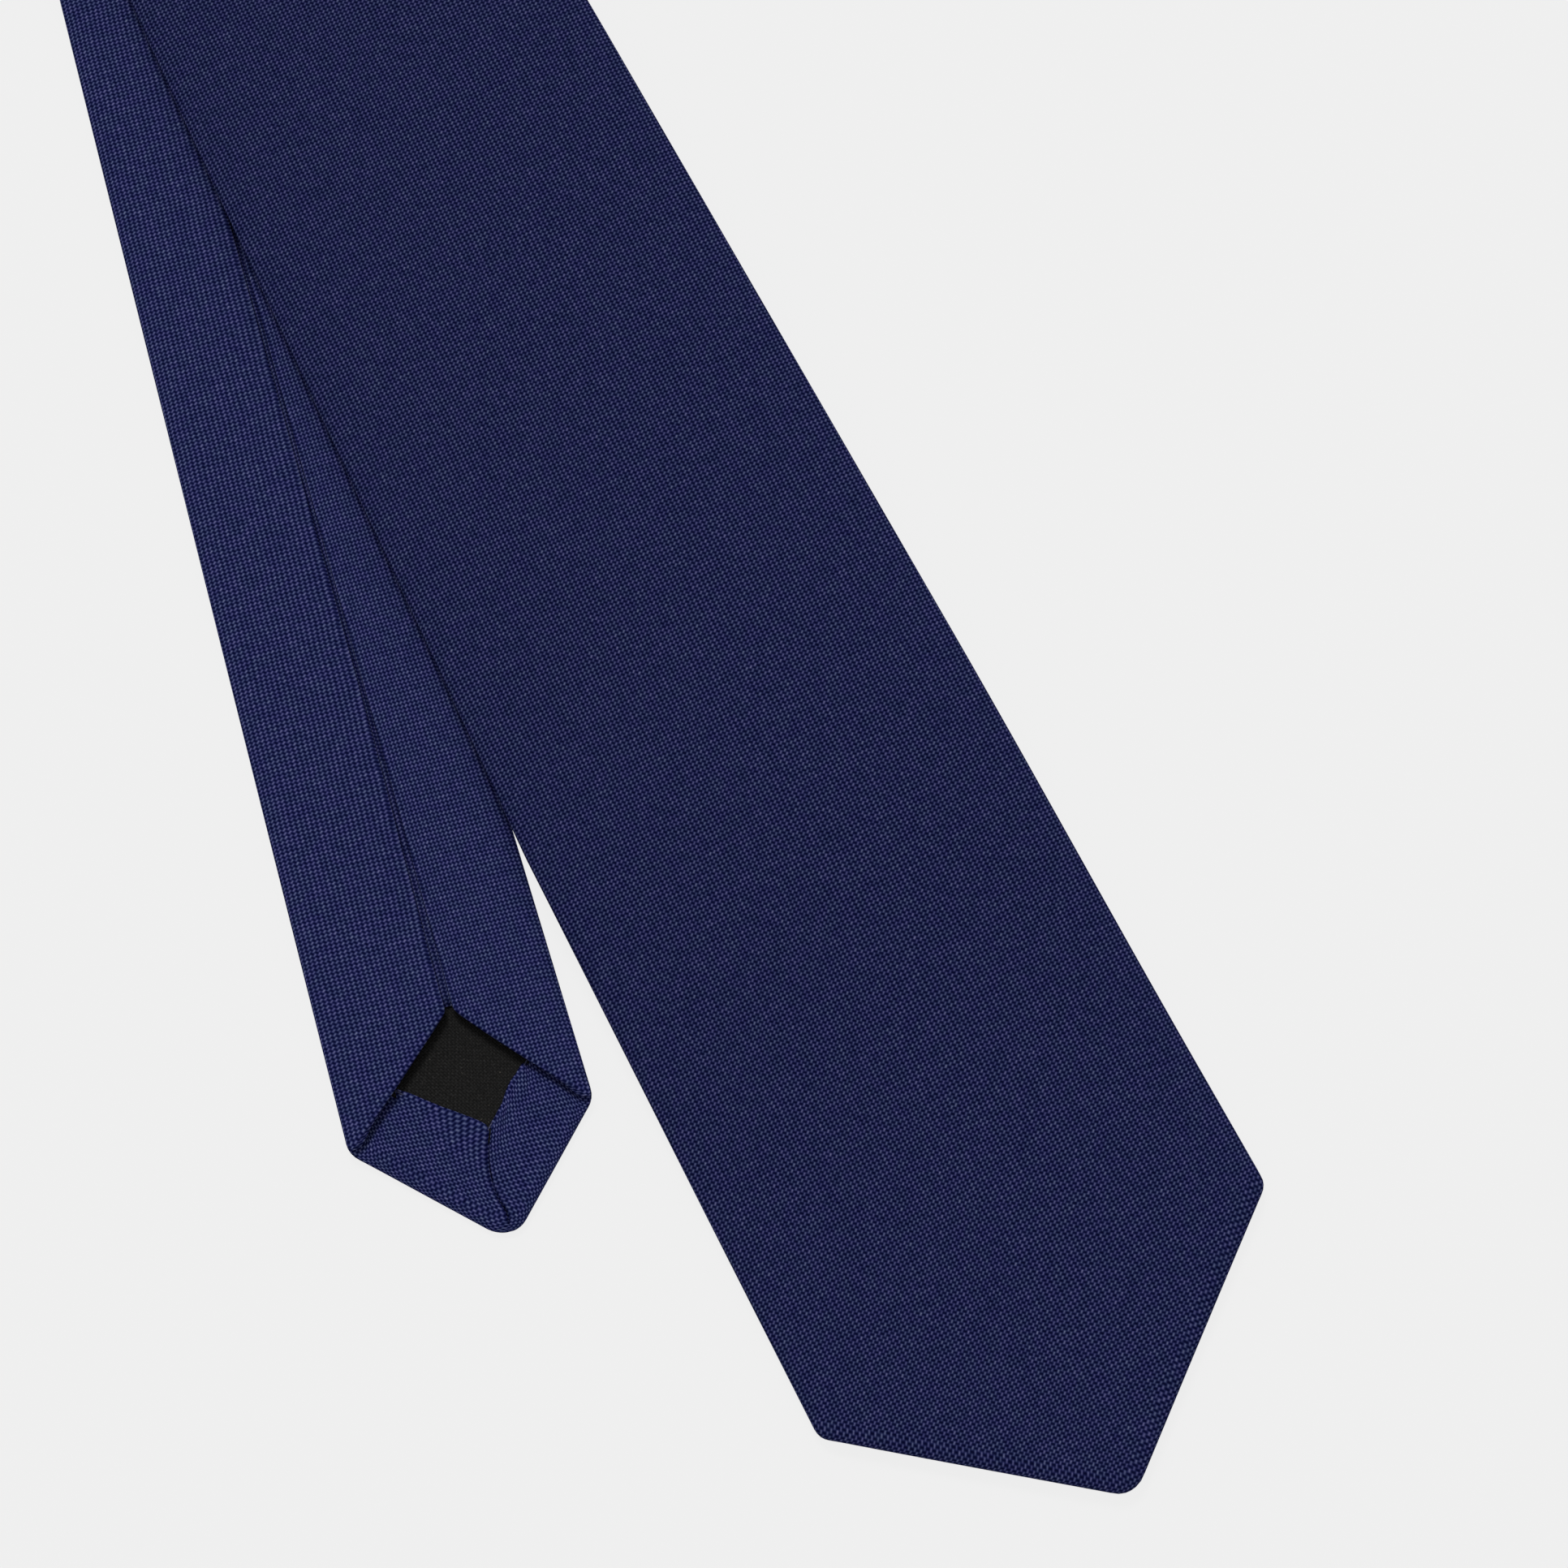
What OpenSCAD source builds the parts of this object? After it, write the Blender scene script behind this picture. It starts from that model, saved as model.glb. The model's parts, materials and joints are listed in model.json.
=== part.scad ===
// Necktie, folded over at the neck. The front half lies face up on the tail half, and the
// tail half lies back up on the table. +Z is up, the tips point to -Y and the neck fold is
// the +Y end. The origin is on the table, in the middle of the tie's footprint.
//
// Each leg is drawn in its own plan frame: s runs from the leg's tip along its middle, and
// u runs across it. Heights in a leg's stack are depths from its face cloth, because the
// face is on top of the front leg and underneath the tail.

/* [Front blade] */
// Width across the shoulders of the front blade
blade_w = 80; // [70:0.5:90]
// Distance from the front tip to the line between the shoulders
blade_tip_len = 31.7; // [26:0.1:40]
// How much the front blade narrows per millimetre of length
blade_taper = 0.022; // [0.01:0.001:0.03]
// Depth of the turned cloth at the front tip, measured along the middle
blade_facing = 27; // [18:0.5:34]
// Radius of the front tip's rounded point
blade_tip_r = 4; // [2:0.5:6]
// Distance from the front tip to the seam with the neck panel
blade_seam_s = 560; // [480:10:600]

/* [Tail] */
// Width across the shoulders of the tail
tail_w = 39.4; // [34:0.1:44]
// Distance from the tail's tip to the line between its shoulders
tail_tip_len = 19.7; // [16:0.1:24]
// How much the tail narrows per millimetre of length
tail_taper = 0.0304; // [0.02:0.0002:0.034]
// Depth of the turned cloth at the tail's tip, measured along the middle
tail_facing = 19.4; // [12:0.1:22]
// Radius of the tail's rounded point
tail_tip_r = 4; // [2:0.5:6]
// Where the tail's tip lies, from the front tip
tail_tip_at = [-66.7, 78.6]; // [-120:0.1:120]
// Angle between the tail and the front blade
tail_angle = 10.95; // [10:0.05:12]
// Distance from the tail's tip to the start of its bend under the front blade
tail_straight = 235; // [220:5:250]
// Distance from the tail's tip to the seam with the neck panel
tail_seam_s = 500; // [490:10:560]

/* [Neck] */
// Width of the neck panel at the fold
neck_w = 32; // [28:0.5:38]
// Distance from the front tip to the neck fold
fold_s = 770; // [740:5:800]
// Outer radius of the cloth round the neck fold
fold_r = 6; // [5:0.25:8]

/* [Blade fold] */
// Distance from the front tip to the line where the front blade folds up
crease_s = 340; // [330:5:350]

/* [Cloth] */
// Thickness of one leg, from its face to its back
leg_t = 3.2; // [3:0.1:3.6]
// Thickness of the face cloth
cloth_t = 0.5; // [0.4:0.05:0.6]
// Thickness of the interlining
interlining_t = 1.4; // [1.2:0.1:1.5]
// Thickness of the lining
lining_t = 0.25; // [0.2:0.05:0.35]
// Gap between the tail and the front leg that lies on it
leg_gap = 0.6; // [0.4:0.1:1]

/* [Keeper and label] */
// Distance from the front tip to the middle of the keeper loop
keeper_s = 180; // [170:2:184]
// Outer width of the keeper loop
keeper_w = 51; // [47:1:54]
// Length of the keeper loop along the blade
keeper_len = 13; // [10:1:16]
// Gap between the keeper loop and the back of the blade
keeper_gap = 1.2; // [0.8:0.1:1.3]
// Width of the label
label_w = 34; // [28:1:36]
// Length of the label along the blade
label_len = 16; // [12:1:18]

/* [Hidden] */
$fn = 48;

NAVY = [0.14, 0.15, 0.29];
BLACK = [0.10, 0.10, 0.10];
NATURAL = [0.86, 0.84, 0.78];
THREAD = [0.10, 0.11, 0.22];
SATIN = [0.06, 0.06, 0.08];

shoulder_r = 3;         // radius of the corners at the shoulders
least_r = 0.5;          // least radius of an outline that is pulled in from a point
above_shoulder = 10;    // from a shoulder to the first point of its long edge
corner_steps = 6;       // straight pieces in one rounded corner
side_steps = 22;        // pieces along each long edge
wall_t = 0.6;           // cloth at the rolled long edges
skin_gap = 0.1;         // clearance between layers
slit_w = 0.5;           // gap between the two flaps at the centre seam
far = 400;              // reach of the cutting shapes, past every edge
seam_w = 0.4;           // gap between two cut edges, filled by their seam's stitches
thread_t = 0.3;         // thickness of the threads
tuck = 8;               // how far the turned cloth runs under the flaps
open_gap = 0.3;         // gap between the two parts of the front leg at the crease
narrowing_s = 250;      // where the front leg starts to narrow towards the neck
tail_narrowing_s = 230; // where the tail starts to widen towards the neck
blade_lining_s = 170;   // how far the front lining runs up
tail_lining_s = 90;     // how far the tail lining runs up
ramp_from_s = 55;       // the front blade leaves the table here
ramp_to_s = 135;        // and lies on the tail from here
rise_from_s = 690;      // the front leg starts to rise to the neck fold here
profile_step = 8;       // spacing of the points on the front leg's ramps
tack_size = [5, 1.2];   // bar tack, across and along the seam
stitch_after = 2.4;     // from the point where the flaps meet to the slip stitch
stitched = 0.8;         // share of the label's side that is stitched
keeper_t = 1;           // thickness of the keeper loop's folded cloth
keeper_foot = 1.5;      // width of each of its sewn feet
label_t = 0.2;          // thickness of the label
label_after = 19;       // from the keeper loop to the label, middle to middle

// Depths in the stack, from the face cloth to the back
interlining_d = cloth_t + skin_gap;
lining_d = interlining_d + interlining_t + skin_gap;
facing_t = leg_t - 2 * cloth_t - interlining_t - 3 * skin_gap;
flap_d = leg_t - cloth_t;

on_tail_z = leg_t + leg_gap;            // underside of the front leg where it lies on the tail
at_fold_z = 2 * fold_r - leg_t;         // underside of the front leg at the neck fold
tail_bend_r = (-tail_tip_at.x - tail_straight * sin(tail_angle)) / (1 - cos(tail_angle));
tail_bend_len = tail_bend_r * tail_angle * PI / 180;
tail_bend_y = tail_tip_at.y + tail_straight * cos(tail_angle);
tail_len = tail_straight + tail_bend_len + fold_s
    - (tail_bend_y + tail_bend_r * sin(tail_angle));
tail_seam_y = fold_s - (tail_len - tail_seam_s);

// Where the front leg's height is worked out: at both ends and along its two ramps
front_stations = concat([-far], [for (s = [ramp_from_s:profile_step:ramp_to_s]) s],
    [for (s = [rise_from_s:profile_step:fold_s]) s], [fold_s]);

// The tips, the turned cloth and the ends of the flaps are all cut to one slope
blade_rise = 2 * blade_tip_len / blade_w;
tail_rise = 2 * tail_tip_len / tail_w;
blade_apex = 2 * blade_tip_len;         // where the flaps of each leg meet
tail_apex = 2 * tail_tip_len;

function smooth(x) = let (t = max(0, min(1, x))) t * t * (3 - 2 * t);
function unit(v) = v / norm(v);
function mirrored(points) = [for (i = [len(points) - 1:-1:0]) [-points[i].x, points[i].y]];

// Points of the arc of radius r that rounds the corner b of the path a, b, c
function corner(a, b, c, r) =
    let (
        to_a = unit(a - b),
        to_c = unit(c - b),
        half = acos(to_a * to_c) / 2,
        middle = b + unit(to_a + to_c) * r / sin(half),
        from = b + to_a * r / tan(half) - middle,
        turn = (cross(to_a, to_c) > 0 ? -1 : 1) * (180 - 2 * half)
    )
    [for (i = [0:corner_steps]) let (w = turn * i / corner_steps)
        middle + [from.x * cos(w) - from.y * sin(w), from.x * sin(w) + from.y * cos(w)]];

// Half the width of each leg at s, above its shoulders
function blade_half(s) = let (
    straight = blade_w - blade_taper * (s - blade_tip_len),
    spare = blade_w - blade_taper * (fold_s - blade_tip_len) - neck_w)
    (straight - spare * smooth((s - narrowing_s) / (fold_s - narrowing_s))) / 2;
function tail_half(s) = let (
    straight = tail_w - tail_taper * (s - tail_tip_len),
    spare = tail_w - tail_taper * (tail_len - tail_tip_len) - neck_w)
    (straight - spare * smooth((s - tail_narrowing_s) / (tail_len - tail_narrowing_s))) / 2;

// A pointed end with its two shoulders, in (u, s), from the left edge to the right one
function pointed_end(half_w, tip_len, tip_r, taper, inset) =
    let (
        slope = atan(half_w / tip_len),
        tip = [0, inset / sin(slope)],
        shoulder = [half_w - inset, tip.y + (half_w - inset) / tan(slope)],
        above = shoulder + [-taper / 2, 1],
        right = corner(tip, shoulder, above, shoulder_r),
        point = corner([-shoulder.x, shoulder.y], tip, shoulder, max(least_r, tip_r - inset))
    )
    concat(mirrored(right), point, right);

function side_s(from, to) = [for (i = [1:side_steps]) from + (to - from) * i / side_steps];

// Whole outlines of the two legs in (u, s), pulled in by inset at the edges
function blade_outline(inset = 0) =
    let (
        end = pointed_end(blade_w / 2, blade_tip_len, blade_tip_r, blade_taper, inset),
        right = [for (s = side_s(blade_tip_len + above_shoulder, fold_s)) [blade_half(s) - inset, s]]
    )
    concat(end, right, mirrored(right));
function tail_outline(inset = 0) =
    let (
        end = pointed_end(tail_w / 2, tail_tip_len, tail_tip_r, tail_taper, inset),
        right = [for (s = side_s(tail_tip_len + above_shoulder, tail_len)) [tail_half(s) - inset, s]]
    )
    concat(end, right, mirrored(right));

// The tail's (u, s) in plan: straight, then one gentle bend, then straight to the fold
function tail_plan(p) =
    let (
        bent = max(0, min(tail_bend_len, p.y - tail_straight)),
        w = tail_angle - bent / tail_bend_r * 180 / PI,
        along = [sin(w), cos(w)],
        ahead = max(0, p.y - tail_straight - tail_bend_len),
        turn = tail_bend_r * [cos(w) - cos(tail_angle), sin(tail_angle) - sin(w)],
        run = min(tail_straight, p.y) * [sin(tail_angle), cos(tail_angle)]
    )
    tail_tip_at + run + turn + ahead * along + p.x * [along.y, -along.x];
function in_tail(points) = [for (p = points) tail_plan(p)];

// Underside of the front leg along its length
function front_z(s) = on_tail_z * smooth((s - ramp_from_s) / (ramp_to_s - ramp_from_s))
    + (at_fold_z - on_tail_z) * smooth((s - rise_from_s) / (fold_s - rise_from_s));

footprint = concat(blade_outline(), in_tail(tail_outline()));
low_x = min([for (p = footprint) p.x]);
high_x = max([for (p = footprint) p.x]);
low_y = min([for (p = footprint) p.y]);
high_y = fold_s + fold_r;
to_origin = [-(low_x + high_x) / 2, -(low_y + high_y) / 2, 0];

// Plan shapes, in (u, s)

// A strip of width w along the middle, with enough points to follow the tail's bend
function strip(from, to, w) =
    let (right = [for (i = [0:side_steps]) [w / 2, from + (to - from) * i / side_steps]])
    concat(right, mirrored(right));

module placed() { translate(to_origin) children(); }
module blade_area(inset = 0) { polygon(blade_outline(inset)); }
module tail_area(inset = 0) { polygon(in_tail(tail_outline(inset))); }
module at_tail_tip() { translate(tail_tip_at) rotate(-tail_angle) children(); }

// Everything above or below the line that crosses the middle at s with the given slope
module above(s, slope = 0) {
    polygon([[-far, s - slope * far], [far, s + slope * far], [far, 4 * far], [-far, 4 * far]]);
}
module below(s, slope = 0) {
    polygon([[-far, s - slope * far], [far, s + slope * far], [far, -far], [-far, -far]]);
}
// Everything below a V whose point is on the middle at s; a negative rise turns it over
module below_v(s, rise) {
    polygon([[0, s], [far, s + rise * far], [far, -2 * far], [-far, -2 * far],
        [-far, s + rise * far]]);
}
module centre_line(from, to, w) { translate([-w / 2, from]) square([w, to - from]); }
module tack(s, room = 0) {
    translate([0, s]) square(tack_size + [room, room], center = true);
}
// Turned cloth at a tip: below the V of the lining's edge, and tucked under the flaps. Its
// two halves meet along the middle, in the mitre
module turned_area(facing, apex, rise) {
    intersection() {
        below_v(facing, rise);
        below_v(apex + tuck, -rise);
    }
}
module turned_cloth(facing, apex, rise, tip_r) {
    difference() {
        turned_area(facing, apex, rise);
        centre_line(tip_r, facing + seam_w, seam_w);
    }
}
module lining_edge(facing, apex, rise) {
    difference() {
        turned_area(facing + seam_w, apex, rise);
        below_v(facing, rise);
    }
}

// Layers: the children's plan shape between two depths from the face

module tail_layer(d0, d1) {
    translate([0, 0, d0]) linear_extrude(d1 - d0) children();
}
module front_layer(d0, d1) {
    top = [for (s = front_stations) [s, front_z(s) + leg_t - d0]];
    under = [for (i = [len(top) - 1:-1:0]) top[i] - [0, d1 - d0]];
    intersection() {
        linear_extrude(6 * fold_r, center = true) children();
        rotate([90, 0, 90]) linear_extrude(2 * blade_w, center = true)
            polygon(concat(top, under));
    }
}
// A band of the neck fold between two depths, between x0 and x1
module fold_layer(d0, d1, x0, x1) {
    translate([x0, fold_s, fold_r]) rotate([90, 0, 90]) linear_extrude(x1 - x0)
        difference() {
            circle(fold_r - d0);
            circle(fold_r - d1);
            translate([-2 * fold_r, -2 * fold_r]) square([2 * fold_r, 4 * fold_r]);
        }
}

// The sleeve of cloth of a stretch of leg, whose plan shape is the children: face, rolled
// edges and the two flaps, which meet at the centre seam and end at the open V

module front_sleeve() {
    front_layer(0, cloth_t) children();
    front_layer(0, leg_t) difference() {
        children();
        blade_area(wall_t);
        below_v(blade_apex, -blade_rise);
    }
    front_layer(flap_d, leg_t) difference() {
        children();
        below_v(blade_apex, -blade_rise);
        centre_line(-far, 3 * far, slit_w);
        tack(blade_apex + tack_size.y, skin_gap);
    }
}
module tail_sleeve() {
    tail_layer(0, cloth_t) children();
    tail_layer(0, leg_t) difference() {
        children();
        tail_area(wall_t);
        at_tail_tip() below_v(tail_apex, -tail_rise);
    }
    tail_layer(flap_d, leg_t) difference() {
        children();
        at_tail_tip() below_v(tail_apex, -tail_rise);
        polygon(in_tail(strip(0, tail_len, slit_w)));
    }
}

// The stretches of the two legs
module blade_part(inset = 0) {
    intersection() {
        blade_area(inset);
        below(crease_s - open_gap / 2);
    }
}
module front_part(inset = 0) {
    intersection() {
        blade_area(inset);
        above(crease_s + open_gap / 2);
        below(fold_s - open_gap);
    }
}

// Front blade: the stretch that folds up at the crease

module blade_shell() {
    color(NAVY) placed() {
        front_sleeve() blade_part();
        front_layer(0, lining_d + facing_t) difference() {
            blade_part();
            blade_area(wall_t);
        }
        front_layer(lining_d, lining_d + facing_t) intersection() {
            blade_part();
            turned_cloth(blade_facing, blade_apex, blade_rise, blade_tip_r);
        }
    }
}
module blade_interlining() {
    color(NATURAL) placed() front_layer(interlining_d, interlining_d + interlining_t)
        blade_part(wall_t + skin_gap);
}
module blade_lining() {
    color(BLACK) placed() front_layer(lining_d, lining_d + lining_t) difference() {
        blade_part(wall_t + skin_gap);
        below_v(blade_facing + seam_w, blade_rise);
        above(blade_lining_s);
    }
}
module blade_lining_stitches() {
    color(THREAD) placed() front_layer(lining_d, lining_d + lining_t) intersection() {
        blade_part(wall_t + skin_gap);
        lining_edge(blade_facing, blade_apex, blade_rise);
    }
}
module blade_mitre_stitches() {
    color(THREAD) placed() front_layer(lining_d, lining_d + thread_t)
        centre_line(blade_tip_r, blade_facing, thread_t);
}
module blade_bar_tack() {
    color(THREAD) placed() front_layer(flap_d, leg_t) tack(blade_apex + tack_size.y);
}
module blade_slip_stitch() {
    color(THREAD) placed() front_layer(flap_d, flap_d + thread_t)
        centre_line(blade_apex + stitch_after, crease_s - open_gap / 2, thread_t);
}
module keeper_loop() {
    deep = keeper_gap + keeper_t;
    round_r = keeper_t / 2;
    profile = concat(
        [[-keeper_w / 2, 0]],
        corner([-keeper_w / 2, 0], [-keeper_w / 2, -deep], [0, -deep], round_r),
        corner([0, -deep], [keeper_w / 2, -deep], [keeper_w / 2, 0], round_r),
        [[keeper_w / 2, 0], [keeper_w / 2 - keeper_foot, 0],
            [keeper_w / 2 - keeper_foot, -keeper_gap],
            [keeper_foot - keeper_w / 2, -keeper_gap], [keeper_foot - keeper_w / 2, 0]]
    );
    color(NAVY) placed() translate([0, keeper_s + keeper_len / 2, on_tail_z])
        rotate([90, 0, 0]) linear_extrude(keeper_len) polygon(profile);
}
module keeper_stitches() {
    color(THREAD) placed() for (side = [-1, 1], end = [-1, 1])
        translate([side * (keeper_w + thread_t) / 2, keeper_s + end * keeper_len / 3,
            on_tail_z - thread_t / 2])
            cube([thread_t, keeper_len / 4, thread_t], center = true);
}
module label() {
    color(SATIN) placed() translate([0, keeper_s + label_after, on_tail_z - label_t / 2])
        cube([label_w, label_len, label_t], center = true);
}
module label_stitches() {
    color(THREAD) placed() for (side = [-1, 1])
        translate([side * (label_w + thread_t) / 2, keeper_s + label_after,
            on_tail_z - thread_t / 2])
            cube([thread_t, stitched * label_len, thread_t], center = true);
}

// Front leg above the crease, up to the neck fold

module front_shell() {
    color(NAVY) placed() front_sleeve() intersection() {
        front_part();
        below(blade_seam_s - seam_w / 2, -1);
    }
}
module front_interlining() {
    color(NATURAL) placed() front_layer(interlining_d, interlining_d + interlining_t)
        front_part(wall_t + skin_gap);
}
module front_slip_stitch() {
    color(THREAD) placed() front_layer(flap_d, flap_d + thread_t)
        centre_line(crease_s + open_gap / 2, fold_s - open_gap, thread_t);
}
module front_seam_stitches() {
    color(THREAD) placed() front_layer(skin_gap, skin_gap + thread_t) intersection() {
        front_part();
        above(blade_seam_s - seam_w / 2, -1);
        below(blade_seam_s + seam_w / 2, -1);
    }
}
module neck_front_shell() {
    color(NAVY) placed() front_sleeve() intersection() {
        front_part();
        above(blade_seam_s + seam_w / 2, -1);
    }
}

// Neck fold: the cloth and interlining that roll over from the front leg to the tail

module neck_fold_shell() {
    edge = neck_w / 2;
    color(NAVY) placed() {
        fold_layer(0, cloth_t, -edge, edge);
        for (side = [0, 1]) mirror([side, 0, 0]) {
            fold_layer(0, leg_t, edge - wall_t, edge);
            fold_layer(flap_d, leg_t, slit_w / 2, edge);
        }
    }
}
module neck_fold_interlining() {
    edge = neck_w / 2 - wall_t - skin_gap;
    color(NATURAL) placed()
        fold_layer(interlining_d, interlining_d + interlining_t, -edge, edge);
}

// Tail: from the neck fold back to the narrow tip

module neck_tail_shell() {
    color(NAVY) placed() tail_sleeve() intersection() {
        tail_area();
        above(tail_seam_y + seam_w / 2, 1);
    }
}
module tail_seam_stitches() {
    color(THREAD) placed() tail_layer(skin_gap, skin_gap + thread_t) intersection() {
        tail_area();
        above(tail_seam_y - seam_w / 2, 1);
        below(tail_seam_y + seam_w / 2, 1);
    }
}
module tail_part() {
    intersection() {
        tail_area();
        below(tail_seam_y - seam_w / 2, 1);
    }
}
module tail_shell() {
    color(NAVY) placed() {
        tail_sleeve() tail_part();
        tail_layer(0, lining_d + facing_t) difference() {
            tail_part();
            tail_area(wall_t);
        }
        tail_layer(lining_d, lining_d + facing_t) intersection() {
            tail_part();
            at_tail_tip() turned_cloth(tail_facing, tail_apex, tail_rise, tail_tip_r);
        }
    }
}
module tail_interlining() {
    color(NATURAL) placed() tail_layer(interlining_d, interlining_d + interlining_t)
        tail_area(wall_t + skin_gap);
}
module tail_lining() {
    color(BLACK) placed() tail_layer(lining_d, lining_d + lining_t) difference() {
        tail_area(wall_t + skin_gap);
        at_tail_tip() below_v(tail_facing + seam_w, tail_rise);
        at_tail_tip() above(tail_lining_s);
    }
}
module tail_lining_stitches() {
    color(THREAD) placed() tail_layer(lining_d, lining_d + lining_t) intersection() {
        tail_area(wall_t + skin_gap);
        at_tail_tip() lining_edge(tail_facing, tail_apex, tail_rise);
    }
}
module tail_mitre_stitches() {
    color(THREAD) placed() tail_layer(lining_d, lining_d + thread_t) at_tail_tip()
        centre_line(tail_tip_r, tail_facing, thread_t);
}
module tail_slip_stitch() {
    color(THREAD) placed() tail_layer(flap_d, flap_d + thread_t)
        polygon(in_tail(strip(tail_apex + stitch_after, tail_len, thread_t)));
}

blade_shell();
blade_interlining();
blade_lining();
blade_lining_stitches();
blade_mitre_stitches();
blade_bar_tack();
blade_slip_stitch();
keeper_loop();
keeper_stitches();
label();
label_stitches();
front_shell();
front_interlining();
front_slip_stitch();
front_seam_stitches();
neck_front_shell();
neck_fold_shell();
neck_fold_interlining();
neck_tail_shell();
tail_seam_stitches();
tail_shell();
tail_interlining();
tail_lining();
tail_lining_stitches();
tail_mitre_stitches();
tail_slip_stitch();
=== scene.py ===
"""The looks of the necktie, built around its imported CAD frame.

Shapes are worked out in millimetres in the tie's own plan: the front tip is at (0, 0) and +Y runs
along the front leg to the neck fold. to_frame() turns them into metres in the row frame. Each leg
has its own coordinates: s runs from its tip along its middle, u across it, and a depth is
measured from the face cloth to the back. A cloth's flat pattern is kept as its UV map, so that
the weave runs through every fold as it does in real cloth.
"""

import json
import math

import bpy
import numpy as np
from mathutils import Matrix, Vector


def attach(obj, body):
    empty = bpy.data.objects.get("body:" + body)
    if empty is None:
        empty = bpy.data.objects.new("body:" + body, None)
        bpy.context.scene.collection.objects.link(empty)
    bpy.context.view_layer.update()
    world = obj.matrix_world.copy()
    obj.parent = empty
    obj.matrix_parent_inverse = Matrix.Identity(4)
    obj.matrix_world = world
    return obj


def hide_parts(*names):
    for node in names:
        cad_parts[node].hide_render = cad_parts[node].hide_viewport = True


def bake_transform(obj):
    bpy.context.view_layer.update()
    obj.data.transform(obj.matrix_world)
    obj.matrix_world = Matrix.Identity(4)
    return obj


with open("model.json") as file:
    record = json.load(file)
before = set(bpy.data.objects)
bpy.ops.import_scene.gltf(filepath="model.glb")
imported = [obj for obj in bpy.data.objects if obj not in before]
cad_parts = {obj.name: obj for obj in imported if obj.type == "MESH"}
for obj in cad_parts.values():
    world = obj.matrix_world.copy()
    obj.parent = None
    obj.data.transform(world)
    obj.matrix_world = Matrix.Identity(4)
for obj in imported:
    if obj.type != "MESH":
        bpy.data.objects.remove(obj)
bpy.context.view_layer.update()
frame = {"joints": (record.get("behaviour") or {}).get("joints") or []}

MM = 0.001
pivots = {j["name"]: Vector(j["pos_m"]) / MM for j in frame["joints"]}

# Lengths along the front leg, from its tip
FOLD_S = 770.0
CREASE_S = FOLD_S - (pivots["neck_fold"].y - pivots["blade_fold"].y)
BLADE_SEAM_S = 560.0
RAMP_S = (55.0, 135.0)
RISE_S = (690.0, FOLD_S)
BOW_S = (133.0, 340.0)
KEEPER_S = 180.0
LABEL_S = 199.0

# Lengths along either leg, from its tip, over which something fades out
LEAN_S = (40.0, 540.0)
SKEW_S = (0.0, 150.0)
POINT_S = (40.0, 150.0)

# Lengths over which something changes, from the hem, from where the flaps part, and below a
# panel seam, where the rows of cloth turn to its bias
HEM_EASE = 8.0
OPENING_LEN = 70.0
DRIFT_LEN = 60.0
BIAS_START = 170.0
BIAS_LEN = 110.0

# Lengths along the tail, from its tip
TAIL_TIP_AT = (-66.7, 78.6)
TAIL_ANGLE = math.radians(10.95)
TAIL_STRAIGHT = 235.0
TAIL_SEAM_S = 500.0

# Heights
LEG_T = 3.2
LEG_GAP = 0.6
FOLD_R = pivots["neck_fold"].z
ON_TAIL_Z = LEG_T + LEG_GAP
AT_FOLD_Z = 2 * FOLD_R - LEG_T

# Widths
NECK_HALF = 16.0
INTERLINING_INSET = 2.8
LINING_INSET = 3.2

# Depths of the middle of each layer in a leg's stack
CLOTH_T = 0.36
FACE_D = 0.2
FACING_D = 1.55
RETURN_D = 2.5
FLAP_D = 3.0
TURN_DROP = 0.42
LINING_T = 0.16
LINING_D = 1.15
LINING_EDGE_D = 1.08
INTERLINING_T = 0.5
INTERLINING_D = 0.7
ALLOWANCE_D = 1.4
SLIP_D = 1.15
THREAD_R = 0.13

# Stitches
TIP_STITCH = 1.5
SEAM_STITCH = 1.2
SLIP_STEP = 4.0
TACK_HALF = 2.5

# Folds
EDGE_IN = 0.3
SIDE_ROLL = 4.2
HEM_ROLL = 2.4
FLAP_ROLL = 0.5
EDGE_ROLL = 0.6
TURNED_UNDER = 3.0
INNER_INSET = 2.3
CENTRE_HALF = 0.12
SEAM_HALF = 0.22
SEAM_SINK = 0.35
SEAM_DRIFT = 0.75
MITRE_SINK = 0.75
UNDER_FLAP_SINK = 0.6

# Lines of a leg's mesh: from the middle of the face to a side, along a flap, round a side
FACE_LINES = 24
FLAP_LINES = 16
ROLL_LINES = 9

# The keeper loop and the label on the back of the front blade
KEEPER_W = 51.0
KEEPER_LEN = 13.0
KEEPER_GAP = 1.2
KEEPER_T = 1.0
KEEPER_BEND = 0.9
LABEL_W = 34.0
LABEL_LEN = 16.0
LABEL_T = 0.12

to_tip = np.array([pivots["neck_fold"].x, pivots["neck_fold"].y - FOLD_S, 0.0])


def smooth(x):
    """An even step from 0 to 1 while x goes from 0 to 1."""
    t = np.clip(x, 0.0, 1.0)
    return t * t * (3 - 2 * t)


def faded(s, start, end):
    """1 before start, 0 after end and an even step between."""
    return 1 - smooth((s - start) / (end - start))


def to_frame(points):
    """Points of the tie's plan, in millimetres, as metres in the row frame."""
    return (np.asarray(points, float) + to_tip) * MM


# ---------------------------------------------------------------- the two legs


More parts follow.
